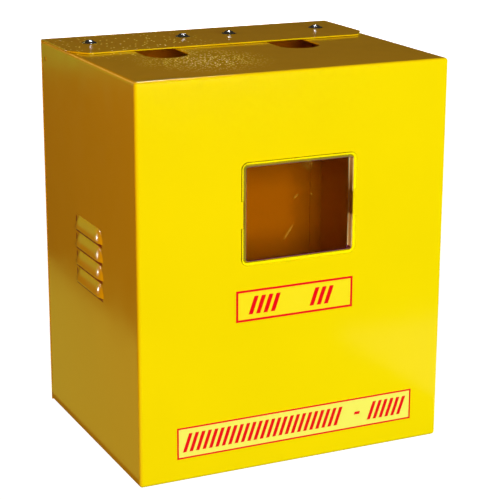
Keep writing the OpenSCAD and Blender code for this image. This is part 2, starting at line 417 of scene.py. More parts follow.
def front_cover():
    """The whole cover as one folded sheet: front, top, bottom and sides are flat grids over shared
    stops, so that their edges meet point for point once they are bent round."""
    margin = 3 * MM
    slot_margin = 1 * MM
    half_u, half_v = WINDOW_W / 2 - WINDOW_CORNER, WINDOW_H / 2 - WINDOW_CORNER
    notch_fan = NOTCH_R * np.linspace(-1, 1, 15)
    slot_fan = SLOT_R * np.linspace(-1, 1, 5)
    slot_x = [c[0] for c in screw_centres]
    slot_y = screw_centres[0][1]
    xs = stops(
        -HALF_W, HALF_W,
        [bend_marks(-HALF_W, HALF_W), hole_marks(WINDOW_X, half_u, WINDOW_CORNER, margin),
         *[x + notch_fan for x in NOTCH_X], *[x + slot_fan for x in slot_x],
         np.array([RELIEF - HALF_W, HALF_W - RELIEF])],
        CELL,
    )
    end_fan = LOUVRE_END * (1 - np.cos(np.radians(np.linspace(0, 90, 13))))
    ys = stops(
        FRONT_Y, COVER_REAR_Y,
        [FRONT_Y + BEND_INSETS, NOTCH_Y - (NOTCH_R + margin) * np.linspace(0, 1, 9),
         slot_y - (SLOT_R + slot_margin) * np.linspace(0, 1, 4),
         LOUVRE_Y - LOUVRE_HALF + end_fan, LOUVRE_Y + LOUVRE_HALF - end_fan,
         np.array([TOP_END_Y, COVER_REAR_Y - BEND])],
        CELL,
    )
    roll = LOUVRE_ROLL / LOUVRE_H * np.array([0, 0.04, 0.15, 0.33, 0.6, 1.0])
    rise = LOUVRE_H * np.concatenate([roll, [0.2, 0.3, 0.4, 0.5, 0.6, 0.7, 0.8, 0.88, 0.94, 1.0]])
    zs = stops(
        0, HEIGHT,
        [bend_marks(0, HEIGHT), hole_marks(WINDOW_Z, half_v, WINDOW_CORNER, margin),
         *[LOUVRE_LOWEST + i * LOUVRE_PITCH + rise for i in range(LOUVRE_COUNT)],
         np.array([RELIEF, HEIGHT - RELIEF])],
        CELL,
    )
    window = {
        "block": window_block(margin), "centre": (WINDOW_X, WINDOW_Z),
        "straight": (half_u, half_v), "radius": WINDOW_CORNER,
    }
    flat, front_faces = panel(xs, zs, rings=[window])
    front = cover_points(np.column_stack([flat[:, 0], np.full(len(flat), FRONT_Y), flat[:, 1]]))

    ends, tails = [], []
    for x in NOTCH_X:
        ends.append({
            "block": (x - NOTCH_R, x + NOTCH_R, NOTCH_Y - NOTCH_R - margin, NOTCH_Y),
            "centre": (x, NOTCH_Y), "straight": (0, 0), "radius": NOTCH_R, "closed": False,
        })
        tails.append((x - NOTCH_R, x + NOTCH_R, NOTCH_Y, COVER_REAR_Y))
    for x in slot_x:
        ends.append({
            "block": (x - SLOT_R, x + SLOT_R, slot_y - SLOT_R - slot_margin, slot_y),
            "centre": (x, slot_y), "straight": (0, 0), "radius": SLOT_R, "closed": False,
        })
        tails.append((x - SLOT_R, x + SLOT_R, slot_y, COVER_REAR_Y))
    flat, top_faces = panel(xs, ys, blocks=tails, rings=ends, keep=lambda x, y: y < TOP_END_Y)
    top = cover_points(np.column_stack([flat, np.full(len(flat), HEIGHT)]))
    points, faces = join([
        (front, front_faces), (top, top_faces), cover_bottom(xs, ys),
        cover_side(-1, ys, zs), cover_side(1, ys, zs),
    ])
    return new_mesh("front_cover_sheet", points, faces)


# ---------------------------------------------------------------- the back panel
def back_panel():
    """Wall and strip as one sheet: up the wall, a quarter circle, then forwards to the strip's
    front edge, whose corners are pulled in to the chamfers. Its first face, low on the wall, has
    to look to the rear."""
    bend_at = STRIP_TOP - BEND
    bend_run = BEND * math.pi / 2
    strip_run = bend_at + bend_run
    end = strip_run + (REAR_Y - BEND - STRIP_Y)
    margin = 2 * MM
    slot = HANG_SLOT
    screws = [(c[0], strip_run + (REAR_Y - BEND - c[1])) for c in screw_centres]
    slot_core = slot["half_h"] - slot["half_w"]
    xs = stops(
        -HALF_W, HALF_W,
        [*[hole_marks(x, 0, WALL_HOLE_R, margin) for x in (-WALL_HOLE_X, WALL_HOLE_X)],
         *[hole_marks(x, 0, STRIP_HOLE_R, margin) for x, _ in screws],
         hole_marks(slot["x"], 0, slot["half_w"], margin),
         np.array([CHAMFER_X - HALF_W, HALF_W - CHAMFER_X])],
        CELL,
    )
    runs = stops(
        0, end,
        [*[hole_marks(z, 0, WALL_HOLE_R, margin) for z in WALL_HOLE_Z],
         hole_marks(slot["z"], slot_core, slot["half_w"], margin),
         bend_at + bend_run * np.linspace(0, 1, 9),
         hole_marks(screws[0][1], 0, STRIP_HOLE_R, margin), np.array([end - CHAMFER_Y])],
        CELL,
    )

    def round_hole(x, run, radius, core=0.0):
        """A hole with round ends, core above and below its middle."""
        reach = radius + margin
        return {
            "block": (x - reach, x + reach, run - core - reach, run + core + reach),
            "centre": (x, run), "straight": (0, core), "radius": radius,
        }

    wall_holes = [(x, z) for x in (-WALL_HOLE_X, WALL_HOLE_X) for z in WALL_HOLE_Z]
    holes = [round_hole(x, z, WALL_HOLE_R) for x, z in wall_holes]
    holes.append(round_hole(slot["x"], slot["z"], slot["half_w"], slot_core))
    holes += [round_hole(x, run, STRIP_HOLE_R) for x, run in screws]
    flat, faces = panel(xs, runs, rings=holes)
    x, run = flat[:, 0], flat[:, 1]
    inner = HALF_W - CHAMFER_X
    squeeze = 1 - np.clip((run - end + CHAMFER_Y) / CHAMFER_Y, 0, 1)
    x = np.where(np.abs(x) > inner, np.sign(x) * (inner + (np.abs(x) - inner) * squeeze), x)
    angle = np.clip((run - bend_at) / BEND, 0, math.pi / 2)
    forwards = np.clip(run - strip_run, 0, None)
    y = REAR_Y - BEND * (1 - np.cos(angle)) - forwards
    z = np.minimum(run, bend_at) + BEND * np.sin(angle)
    mesh = new_mesh("back_panel_sheet", np.column_stack([x, y, z]), faces, outward=False)
    if read(mesh.polygons, "normal")[0, 1] < 0:
        mesh.flip_normals()
    return mesh


# ---------------------------------------------------------------- the clear tray
def arc(centre, radius, start, end, count=5):
    """Points on a stretch of a circle, from one angle in degrees to another."""
    turn = np.radians(np.linspace(start, end, count))
    return np.column_stack([centre[0] + radius * np.cos(turn), centre[1] + radius * np.sin(turn)])


def tray_profile():
    """The tray's section, from the pane's back round the skirt and the lip to the pane's front, in
    millimetres out from the skirt and back from the sheet, with the tint of each stretch. Away
    from the clear pane the tints are painted light: painted shade on the skirt, its rims and the
    lip's edge, and a painted highlight on the lip."""
    clear = (0.01, 0.006, 0.004, 0.03)
    # painted light: dark purple painted shade on the skirt and its rims, a painted highlight on the
    # lip, a dark painted shade line on the lip's edge
    wall = (0.13, 0.02, 0.09, 0.65)
    rim = (0.22, 0.04, 0.16, 0.85)
    lip = (1.0, 0.95, 0.0, 0.20)
    edge = (0.06, 0.02, 0.0, 0.85)
    pane = (pane_high[1] - FRONT_Y) / MM
    no_barb = 0
    barb_at_second = (0, 1, 0, 0)
    stretches = [
        # the pane's back, its rear corner, then the skirt's outside with the barb
        ([(-2.9, pane), (-2.2, pane)], clear, no_barb),
        (arc((-0.5, pane - 0.5), 0.5, 90, 0), rim, no_barb),
        ([(0, pane - 0.6), (0, 1.25), (0, 1.2), (0, 0.1)], wall, barb_at_second),
        # the lip's back, its rounded edge, then its front
        ([(0.05, -0.03), (2.3, -0.03)], lip, no_barb),
        (arc((1.9, -0.9), 0.6, 0, -80), edge, no_barb),
        ([(1.8, -1.5), (-1.0, -1.5)], lip, no_barb),
        # round into the recess, down the skirt's inside, then round on to the pane's front
        (arc((-1.1, -1.1), 0.4, -90, -180), rim, no_barb),
        ([(-1.5, -0.6), (-1.5, pane - 1.95)], wall, no_barb),
        (arc((-1.85, pane - 1.85), 0.35, 0, 90), rim, no_barb),
        ([(-2.4, pane - 1.5), (-2.9, pane - 1.5)], clear, no_barb),
    ]
    places = np.concatenate([np.array(part, float) for part, _, _ in stretches])
    tints_and_painted_light = np.concatenate([np.tile(colour, (len(part), 1)) for part, colour, _ in stretches])
    barbs = np.concatenate([np.broadcast_to(barb, len(part)) for part, _, barb in stretches])
    return places * MM, tints_and_painted_light, barbs


def tray_path():
    """Round the skirt's outline: the centre of each corner's circle or a place on a straight side,
    the way out from it, and whether the lip and the barb are there."""
    half_w = WINDOW_W / 2 - TRAY_FIT - WINDOW_CORNER
    half_h = WINDOW_H / 2 - TRAY_FIT - WINDOW_CORNER
    heights = np.array([-CLIP_HALF, -CLIP_HALF, -BARB_HALF, -BARB_HALF,
                        BARB_HALF, BARB_HALF, CLIP_HALF, CLIP_HALF])
    has_lip = np.array([1, 0, 0, 0, 0, 0, 0, 1])
    has_barb = np.array([0, 0, 0, 1, 1, 0, 0, 0])
    stations = []
    for quarter, (side_x, side_z) in enumerate([(1, 1), (-1, 1), (-1, -1), (1, -1)]):
        turn = np.radians(quarter * 90 + np.linspace(0, 90, 9))
        stations.append(np.column_stack([
            np.full(9, side_x * half_w), np.full(9, side_z * half_h),
            np.cos(turn), np.sin(turn), np.ones(9), np.zeros(9),
        ]))
        if quarter % 2:
            up = -side_x
            stations.append(np.column_stack([
                np.full(8, side_x * half_w), up * heights[::-1],
                np.full(8, side_x), np.zeros(8), has_lip, has_barb,
            ]))
    return np.concatenate(stations)


def window_tray():
    """The section carried round the skirt's outline, with both sides of the pane closed. The
    painted shade line on the lip's outer edge is darker towards the upper left and fainter towards
    the lower right. The skirt gets a paler painted light along the right side, painted shade at its
    clip, and is nearly clear along the bottom."""
    # painted light on the skirt's right side, painted shade at its clip
    right_painted_light = (0.80, 0.66, 0.50, 0.75)
    clip_painted_shade = (0.16, 0.06, 0.02, 0.6)
    bottom_tint = (0.05, 0.02, 0.01, 0.10)
    straight_side = 0.95
    places, tints_and_painted_light, barbs = tray_profile()
    path = tray_path()
    path = np.concatenate([path, path[:1]])
    out = places[:, :1]
    out = np.where(out > 0, out * path[:, 4], out) + barbs[:, None] * path[:, 5] * BARB_REACH
    x = WINDOW_X + path[:, 0] + path[:, 2] * (WINDOW_CORNER + out)
    z = WINDOW_Z + path[:, 1] + path[:, 3] * (WINDOW_CORNER + out)
    y = np.broadcast_to(FRONT_Y + places[:, 1:], x.shape)
    points = np.column_stack([x.ravel(), y.ravel(), z.ravel()])
    rows = np.arange(x.size).reshape(x.shape)
    tint = np.repeat(tints_and_painted_light[:, None, :], x.shape[1], axis=1)
    # painted shade: the lip's edge line is darker where it faces up and to the left
    least_dark = 0.15
    painted_edge_shade = np.clip(0.5 - 0.45 * path[:, 2] + 0.35 * path[:, 3], least_dark, 1)
    at_edge = (places[:, 0] > 1.95 * MM) & (places[:, 1] < -0.2 * MM)
    tint[..., 3] *= np.where(at_edge[:, None], painted_edge_shade, 1)
    on_right = path[:, 2] > straight_side
    on_bottom = path[:, 3] < -straight_side
    at_clip = on_right & (path[:, 4] == 0)
    at_skirt = (places[:, 0] <= 0) & (places[:, 0] > -2.15 * MM) & (tints_and_painted_light[:, 3] > 0.5)
    tint[np.ix_(at_skirt, on_right)] = right_painted_light
    tint[np.ix_(at_skirt, at_clip)] = clip_painted_shade
    tint[np.ix_(at_skirt & (places[:, 1] > 0), on_bottom)] = bottom_tint
    caps = (rows[0, :-1], rows[-1, :-1])
    return new_mesh(
        "tray_swept", points, quads_between(rows), caps=caps, tint=tint.reshape(-1, 4)
    )


# ---------------------------------------------------------------- turned pieces
def cross_depth(x, y):
    """How deep the driver's cross goes: full inside both arms, sloping off at their walls."""
    full_depth = 1.7 * MM
    half_width = 0.60 * MM
    wall_slope = 0.22 * MM
    arm_length = 2.7 * MM
    end_slope = 1.4 * MM
    near = np.minimum(np.abs(x), np.abs(y))
    far = np.maximum(np.abs(x), np.abs(y))
    arm = np.clip((half_width - near) / wall_slope, 0, 1)
    reach = np.clip((arm_length - far) / end_slope, 0, 1)
    return full_depth * arm * reach


def screw(index):
    """A flanged dome with a cross in it, on a threaded shank: one profile carried round the axis.
    The thread is a triangle wave of height plus turn over the pitch."""
    low, high = screw_boxes[index]
    x, y, _ = screw_centres[index]
    seat = high[2] - SCREW_HEAD_H
    head_r = (high[0] - low[0]) / 2
    dome_r = head_r - FLANGE_W
    ball = (dome_r**2 + DOME_H**2) / (2 * DOME_H)
    dome = np.linspace(0, dome_r, 26)
    dome_z = FLANGE_H + DOME_H - ball + np.sqrt(ball**2 - dome**2)
    rim = [
        (head_r - 0.25 * MM, FLANGE_H - 0.05 * MM), (head_r, FLANGE_H - 0.3 * MM),
        (head_r, 0.1 * MM), (head_r - 0.1 * MM, 0.0), (SCREW_R, 0.0),
    ]
    shank = np.arange(0.4 * MM, high[2] - low[2] - 3.5 * MM, SCREW_PITCH / 8)
    tip = high[2] - low[2] - SCREW_HEAD_H
    profile = np.concatenate([
        np.column_stack([dome, dome_z]), np.array(rim),
        np.column_stack([np.full(len(shank), SCREW_R), -shank]),
        [(SCREW_R - 0.1 * MM, -tip + 0.5 * MM), (SCREW_R - 0.6 * MM, -tip), (0, -tip)],
    ])
    turn = np.linspace(0, 2 * math.pi, 73)
    radius, angle = np.meshgrid(profile[:, 0], turn, indexing="ij")
    height = np.repeat(profile[:, 1][:, None], len(turn), axis=1)
    on_shank = (height < -0.35 * MM) & (height > -tip + 0.45 * MM)
    wave = np.abs(((height / SCREW_PITCH - angle / (2 * math.pi)) % 1) * 2 - 1)
    radius = radius - np.where(on_shank, THREAD_DEPTH * wave, 0)
    on_dome = height > FLANGE_H
    own_x, own_y = radius * np.cos(angle), radius * np.sin(angle)
    height = height - np.where(on_dome, cross_depth(own_x, own_y), 0)
    first_turn = 25
    turn_apart = 40
    aim = math.radians(first_turn + turn_apart * index)
    points = np.column_stack([
        (x + own_x * math.cos(aim) - own_y * math.sin(aim)).ravel(),
        (y + own_x * math.sin(aim) + own_y * math.cos(aim)).ravel(),
        (seat + height).ravel(),
    ])
    rows = np.arange(radius.size).reshape(radius.shape)
    return new_mesh(f"screw_{index + 1}_turned", points, quads_between(rows))


# ---------------------------------------------------------------- printed bars
def frame_strip(half_w, half_h, width):
    """A rectangular frame of ink: the outline joined to the same outline set in by its width."""
    corner = np.array([[-1, -1], [1, -1], [1, 1], [-1, 1], [-1, -1]])
    outer = corner * [half_w, half_h]
    inner = corner * [half_w - width, half_h - width]
    points = np.concatenate([outer, inner])
    return points, quads_between(np.arange(10).reshape(2, 5))


def slanted_bars(start, end, half_h, stroke, pitch):
    """Plain slanted strokes in a row: each is a parallelogram leaning by a fixed share."""
    lean = BAR_LEAN * half_h
    lefts = np.arange(start + lean, end - lean - stroke + 1e-9, pitch)
    corner_x = lefts[:, None] + np.array([-lean, stroke - lean, stroke + lean, lean])
    corner_z = np.broadcast_to(np.array([-half_h, -half_h, half_h, half_h]), corner_x.shape)
    points = np.column_stack([corner_x.ravel(), corner_z.ravel()])
    return points, np.arange(len(points)).reshape(-1, 4)


def label_ink(name, node, frame_w, rows):
    """A label's printed frame and its rows of bars, laid round the label's middle just proud of
    its film, and turned to the front. A row gives its start, its end, half of its height, the
    stroke and the pitch, all in millimetres."""
    low, high = (np.array(corner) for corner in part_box(node))
    middle = (low + high) / 2
    half = (high - low) / 2
    parts = [frame_strip(half[0], half[2], frame_w)]
    parts += [slanted_bars(*(size * MM for size in row)) for row in rows]
    flat, faces = join(parts)
    points = np.column_stack([
        middle[0] + flat[:, 0], np.full(len(flat), low[1] - INK_PROUD), middle[2] + flat[:, 1],
    ])
    mesh = new_mesh(name, points, faces, outward=False)
    if read(mesh.polygons, "normal")[0, 1] > 0:
        mesh.flip_normals()
    return mesh


# ---------------------------------------------------------------- materials
BLACK = (0.0, 0.0, 0.0, 1)
ENAMEL = (0.815, 0.615, 0.0, 1)
ENAMEL_CLOUD = (0.845, 0.635, 0.0, 1)
# a redder tint painted on the inner faces for the warmer light inside
ENAMEL_PAINTED_INDOOR_LIGHT = (0.83, 0.43, 0.0, 1)
# painted shade under the louvres' lips and along their rear ends
PAINTED_LIP_SHADE = (0.34, 0.07, 0.0, 1)
# paler nibs, partly dust colour and partly painted glints, and the glow of the painted glints
NIB_DUST_AND_PAINTED_GLINT = (1.0, 0.95, 0.40, 1)
NIB_PAINTED_GLINT_GLOW = (1.0, 0.85, 0.10, 1)
SCRATCH_TINT = (1.0, 0.58, 0.08, 1)
INK_RED = (0.80, 0.0, 0.012, 1)
INK_THIN = (0.70, 0.0, 0.010, 1)


class Finish:
    """A node material with one main shader and short calls for what feeds it."""

    def __init__(self, name, **values):
        """The values are set on the shader's own sockets."""
        self.material = bpy.data.materials.new(name)
        self.material.use_nodes = True
        self.tree = self.material.node_tree
        self.shader = self.tree.nodes["Principled BSDF"]
        self.place = self.node("ShaderNodeTexCoord").outputs["Object"]
        for key, value in values.items():
            self.shader.inputs[key.replace("_", " ")].default_value = value

    def node(self, kind, settings=None, **inputs):
        """A node with its settings, and a number or a link for each input named."""
        made = self.tree.nodes.new(kind)
        for key, value in (settings or {}).items():
            setattr(made, key, value)
        for key, value in inputs.items():
            self.feed(made.inputs[key.replace("_", " ")], value)
        return made

    def feed(self, socket, value):
        """Links a node's output to the socket, or sets the socket to a number."""
        if isinstance(value, bpy.types.NodeSocket):
            self.tree.links.new(value, socket)
        else:
            socket.default_value = value

    def noise(self, scale, detail=2.0, rough=0.5):
        """Cloudy noise with so many features to the metre."""
        made = self.node(
            "ShaderNodeTexNoise", Vector=self.place, Scale=scale, Detail=detail, Roughness=rough
        )
        return made.outputs["Fac"]

    def span(self, value, low, high, to_low, to_high, kind="LINEAR"):
        """The value carried from the range low to high over to another range, and held there."""
        settings = {"clamp": True, "interpolation_type": kind}
        made = self.node("ShaderNodeMapRange", settings, Value=value)
        for key, number in (
            ("From Min", low), ("From Max", high), ("To Min", to_low), ("To Max", to_high),
        ):
            made.inputs[key].default_value = number
        return made.outputs["Result"]

    def grade(self, noise, to_low, to_high):
        """A noise's usual range, 0.3 to 0.7, spread over another range."""
        return self.span(noise, 0.3, 0.7, to_low, to_high)

    def calc(self, operation, a, b):
        """One step of arithmetic on two values."""
        made = self.node("ShaderNodeMath", {"operation": operation})
        self.feed(made.inputs[0], a)
        self.feed(made.inputs[1], b)
        return made.outputs[0]

    def blend(self, factor, a, b, kind="MIX"):
        """Colour a where the factor is 0, and b where it is 1."""
        made = self.node("ShaderNodeMix", {"data_type": "RGBA", "blend_type": kind})
        self.feed(made.inputs[0], factor)
        self.feed(made.inputs[6], a)
        self.feed(made.inputs[7], b)
        return made.outputs[2]

    def bump(self, height, distance, strength=1.0, below=None):
        """A height's relief in metres, on top of the relief below it."""
        made = self.node("ShaderNodeBump", Height=height, Distance=distance, Strength=strength)
        if below is not None:
            self.tree.links.new(below, made.inputs["Normal"])
        return made.outputs["Normal"]

    def near(self, centre, full, gone):
        """1 within full of a point, falling to 0 at gone."""
        away = self.node("ShaderNodeVectorMath", {"operation": "DISTANCE"})
        self.tree.links.new(self.place, away.inputs[0])
        away.inputs[1].default_value = centre
        return self.span(away.outputs["Value"], full, gone, 1.0, 0.0)

    def nibs(self, scale, size, rare):
        """Small domes at some of a cell pattern's centres: 1 at a centre, 0 from size outwards."""
        cells = self.node(
            "ShaderNodeTexVoronoi", {"voronoi_dimensions": "2D"}, Vector=self.place, Scale=scale
        )
        dome = self.span(cells.outputs["Distance"], 0.0, size, 1.0, 0.0, "SMOOTHSTEP")
        chosen = self.calc("GREATER_THAN", cells.outputs["Color"], rare)
        return self.calc("MULTIPLY", dome, chosen)

    def painted_louvre_shade(self):
        """1 where shade is painted: in a band under each louvre's lip and along its rear end, on
        the outer face of the sides only. The height is taken modulo the louvres' pitch."""
        parts = self.node("ShaderNodeSeparateXYZ", Vector=self.place)
        y, z = parts.outputs["Y"], parts.outputs["Z"]
        first = LOUVRE_LOWEST - LIP_SHADE_H
        up = self.calc("MODULO", self.calc("SUBTRACT", z, first), LOUVRE_PITCH)
        behind = self.calc("SUBTRACT", y, LOUVRE_Y)
        lip_shade = self.calc(
            "MULTIPLY",
            self.span(up, LIP_SHADE_H, LIP_SHADE_H + 0.2 * MM, 1, 0),
            self.span(self.calc("ABSOLUTE", behind, 0.0), LOUVRE_HALF - 3 * MM, LOUVRE_HALF, 1, 0),
        )
        rear_end_shade = self.calc(
            "MULTIPLY",
            self.span(up, LIP_SHADE_H + LOUVRE_H - 2.5 * MM, LIP_SHADE_H + LOUVRE_H - 1 * MM, 1, 0),
            self.calc(
                "MULTIPLY",
                self.span(behind, LOUVRE_HALF - 2.6 * MM, LOUVRE_HALF - 1.6 * MM, 0, 1),
                self.span(behind, LOUVRE_HALF - 0.6 * MM, LOUVRE_HALF + 0.2 * MM, 1, 0),
            ),
        )
        last = first + LOUVRE_COUNT * LOUVRE_PITCH
        reach = self.calc("ABSOLUTE", parts.outputs["X"], 0.0)
        over_first = self.span(z, first, first + 0.2 * MM, 0, 1)
        under_last = self.span(z, last, last + 0.2 * MM, 1, 0)
        outside = self.span(reach, HALF_W - SHEET, HALF_W - 0.5 * SHEET, 0, 1)
        there = self.calc("MULTIPLY", self.calc("MULTIPLY", over_first, under_last), outside)
        return self.calc("MULTIPLY", self.calc("MAXIMUM", lip_shade, rear_end_shade), there)

    def indoors(self):
        """1 on the cabinet's inner faces: a point is inside when it lies about a sheet's thickness
        or more within the outer face on every side."""
        parts = self.node("ShaderNodeSeparateXYZ", Vector=self.place)
        y, z = parts.outputs["Y"], parts.outputs["Z"]
        across = self.calc("ABSOLUTE", parts.outputs["X"], 0.0)
        deep, shallow = 0.97 * SHEET, 0.80 * SHEET
        inside = self.span(across, HALF_W - deep, HALF_W - shallow, 1, 0)
        for value, low, high in ((y, FRONT_Y, REAR_Y), (z, 0.0, HEIGHT)):
            past_low = self.span(value, low + shallow, low + deep, 0, 1)
            short_of_high = self.span(value, high - deep, high - shallow, 1, 0)
            inside = self.calc("MULTIPLY", inside, self.calc("MULTIPLY", past_low, short_of_high))
        return inside

    def hairline(self, centre, slant, length, width):
        """1 along a thin scratch that slants by so many degrees in the X-Z plane."""
        mapping = self.node(
            "ShaderNodeMapping", {"vector_type": "TEXTURE"}, Vector=self.place,
            Location=centre, Rotation=(0, -math.radians(slant), 0),
        )
        parts = self.node("ShaderNodeSeparateXYZ", Vector=mapping.outputs[0])
        along = self.calc("ABSOLUTE", parts.outputs["X"], 0.0)
        across = self.calc("ABSOLUTE", parts.outputs["Z"], 0.0)
        return self.calc(
            "MULTIPLY",
            self.span(along, 0.25 * length, 0.5 * length, 1, 0),
            self.span(across, 0.2 * width, 0.5 * width, 1, 0),
        )

    def finish(self, **links):
        """Feeds the shader's sockets by name and gives the material."""
        for key, value in links.items():
            self.feed(self.shader.inputs[key.replace("_", " ")], value)
        return self.material


def gloss_paint():
    """Sprayed gloss enamel, with a redder tint painted indoors for the warmer light inside: faint
    cloudiness, orange peel, dust nibs on the strip, a patch of dry overspray beside the left notch,
    and two small weld dimples. Shade is painted under the louvres' lips and along their rear ends,
    and the nibs and overspray grains are painted paler and made to glow, as painted glints."""
    # the emission shows only on the nibs and grains, as painted glints
    f = Finish("yellow_gloss_paint", IOR=1.5, Emission_Strength=0.8)
    cloud = f.grade(f.noise(scale=9, detail=3, rough=0.55), 0.0, 1.0)
    colour = f.blend(cloud, ENAMEL, ENAMEL_CLOUD)
    # a redder tint painted on the inner faces for the warmer light inside
    colour = f.blend(f.indoors(), colour, ENAMEL_PAINTED_INDOOR_LIGHT)
    # painted shade under the louvres' lips and along their rear ends
    colour = f.blend(f.painted_louvre_shade(), colour, PAINTED_LIP_SHADE)
    peel_bump = f.bump(f.noise(scale=520), distance=0.03 * MM, strength=0.5)
    wave = f.noise(scale=26, detail=1, rough=0.4)
    wave_bump = f.bump(wave, distance=0.5 * MM, strength=0.25, below=peel_bump)
    patch = f.near((-0.045, -0.035, HEIGHT), full=20 * MM, gone=55 * MM)
    dusty = f.near((-0.07, 0.05, STRIP_TOP), full=35 * MM, gone=75 * MM)
    grains_and_painted_glints = f.calc(
        "MAXIMUM",
        f.calc("MULTIPLY", f.nibs(scale=420, size=0.40, rare=0.52), patch),
        f.calc("MULTIPLY", f.nibs(scale=190, size=0.20, rare=0.58), dusty),
    )
    height = f.node("ShaderNodeSeparateXYZ", Vector=f.place).outputs["Z"]
    on_top = f.span(height, HEIGHT - 0.6 * MM, HEIGHT - 0.2 * MM, 0, 1)
    grains_and_painted_glints = f.calc("MULTIPLY", grains_and_painted_glints, on_top)
    dimples = f.calc(
        "MAXIMUM",
        f.near((-0.1147, 0.0868, STRIP_TOP), full=0.3 * MM, gone=2.2 * MM),
        f.near((-HALF_W, REAR_Y - 10 * MM, 0.287), full=0.3 * MM, gone=2.2 * MM),
    )
    # paler nibs and grains, partly dust colour and partly painted glints
    colour = f.blend(grains_and_painted_glints, colour, NIB_DUST_AND_PAINTED_GLINT)
    gritty = f.bump(grains_and_painted_glints, distance=0.25 * MM, below=wave_bump)
    dimpled = f.bump(dimples, distance=0.8 * MM, below=gritty)
    rough = f.grade(f.noise(scale=60), 0.13, 0.18)
    # the nibs and grains glow as painted glints
    painted_glint_glow = f.blend(grains_and_painted_glints, BLACK, NIB_PAINTED_GLINT_GLOW)
    return f.finish(Base_Color=colour, Roughness=rough, Normal=dimpled, Emission_Color=painted_glint_glow)


def zinc_plate(name, tint, low, high):
    """Bright zinc: a fine grain in its tint and its gloss, which goes from low to high."""
    f = Finish(name, Metallic=1.0)
    grain = f.noise(scale=900, detail=3, rough=0.6)
    brighter = tuple(min(1, part * 1.12) for part in tint[:3]) + (1,)
    colour = f.blend(grain, tint, brighter)
    fine = f.bump(f.noise(scale=2500), distance=0.01 * MM, strength=0.4)
    return f.finish(Base_Color=colour, Roughness=f.grade(grain, low, high), Normal=fine)


def clear_plastic():
    """Clear moulded plastic: each stretch's tint, which away from the clear pane is painted shade
    and painted highlight, a few hairline scratches and a gate scuff.
    """
    f = Finish("clear_plastic", IOR=1.49)
    tint = f.node("ShaderNodeAttribute", {"attribute_name": "tint"})
    speckle = f.span(f.noise(scale=700, detail=3, rough=0.6), 0.35, 0.65, 0, 0.3)
    colour = f.blend(speckle, tint.outputs["Color"], (0.3, 0.3, 0.3, 1), "MULTIPLY")
    marks = f.hairline((-0.0044, 0, 0.1798), slant=55, length=16.5 * MM, width=0.45 * MM)
    for centre, slant, length in (
        ((0.0015, 0, 0.2063), 39, 5.5 * MM),
        ((0.014, 0, 0.2068), 120, 1.6 * MM),
    ):
        marks = f.calc("MAXIMUM", marks, f.hairline(centre, slant, length, width=0.5 * MM))
    gate = f.near((0.011, FRONT_Y + 5 * MM, 0.2305), full=1 * MM, gone=7 * MM)
    specks = f.span(f.noise(scale=1300, detail=2, rough=0.6), 0.52, 0.66, 0, 1)
    scuff = f.calc("MULTIPLY", gate, specks)
    shown = f.calc("MAXIMUM", f.span(marks, 0, 1, 0, 0.42), f.span(scuff, 0, 1, 0, 0.6))
    colour = f.blend(f.calc("MAXIMUM", marks, scuff), colour, SCRATCH_TINT)
    alpha = f.calc("MAXIMUM", tint.outputs["Alpha"], shown)
    return f.finish(
        Base_Color=colour, Alpha=alpha, Roughness=f.grade(f.noise(scale=80), 0.05, 0.10)
    )


def label_film(name, ground, shade):
    """Printed film: a soft unevenness of the ground, and a slight stipple."""
    f = Finish(name, IOR=1.46)
    colour = f.blend(f.noise(scale=90, detail=3, rough=0.6), ground, shade)
    stipple = f.bump(f.noise(scale=1800), distance=0.01 * MM, strength=0.5)
    rough = f.grade(f.noise(scale=200), 0.38, 0.48)
    return f.finish(Base_Color=colour, Roughness=rough, Normal=stipple)


def red_ink():
    """Screen-printed red: slightly uneven cover."""
    f = Finish("red_ink", IOR=1.46)
    colour = f.blend(f.noise(scale=400, detail=3, rough=0.6), INK_RED, INK_THIN)
    return f.finish(Base_Color=colour, Roughness=f.grade(f.noise(scale=300), 0.40, 0.52))


PAINT = gloss_paint()
ZINC = zinc_plate("zinc_screw", (0.72, 0.73, 0.75, 1), 0.12, 0.22)
BAR_ZINC = zinc_plate("zinc_bar", (0.60, 0.61, 0.62, 1), 0.30, 0.42)
CLEAR = clear_plastic()
UPPER_FILM = label_film("upper_film", (0.84, 0.66, 0.01, 1), (0.87, 0.69, 0.02, 1))
LOWER_FILM = label_film("lower_film", (0.83, 0.76, 0.14, 1), (0.86, 0.79, 0.18, 1))
INK = red_ink()

# ---------------------------------------------------------------- the pieces
new_piece(
    "cover_sheet", front_cover(), "cover", PAINT,
    replaces=["front_cover"], thickness=SHEET, bevel=0.22 * MM,
)
new_piece(
    "back_sheet", back_panel(), "back", PAINT,
    replaces=["back_panel"], thickness=SHEET, bevel=0.12 * MM,
)
for number in range(4):
    node_name = f"screw_{number + 1}"
    new_piece(f"{node_name}_zinc", screw(number), node_name, ZINC, replaces=[node_name])
new_piece(
    "nut_bar_zinc", copy_of("nut_bar"), "back", BAR_ZINC,
    replaces=["nut_bar"], bevel=0.25 * MM,
)
tray = new_piece(
    "window_tray", window_tray(), "cover", CLEAR, replaces=["window_pane"],
)
tray.visible_shadow = False
for node_name, film in (("upper_label", UPPER_FILM), ("lower_label", LOWER_FILM)):
    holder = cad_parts[node_name]
    holder.data.materials.clear()
    holder.data.materials.append(film)

for mesh_name, node_name, frame_width, bar_rows in (
    ("upper_ink", "upper_label", 1.7 * MM, (
        (-38, -6, 6.8, 3.4, 6.0),
        (0, 6, 1.2, 5.2, 5.6),
        (12, 38, 6.8, 3.4, 6.0),
    )),
    ("lower_ink", "lower_label", 1.3 * MM, (
        (-94, 43, 7.2, 2.8, 5.2),
        (48.5, 54, 1.1, 4.6, 5.2),
        (60, 94, 7.2, 2.8, 5.2),
    )),
):
    printed = label_ink(mesh_name, node_name, frame_width, bar_rows)
    new_piece(f"{node_name}_ink", printed, "cover", INK)


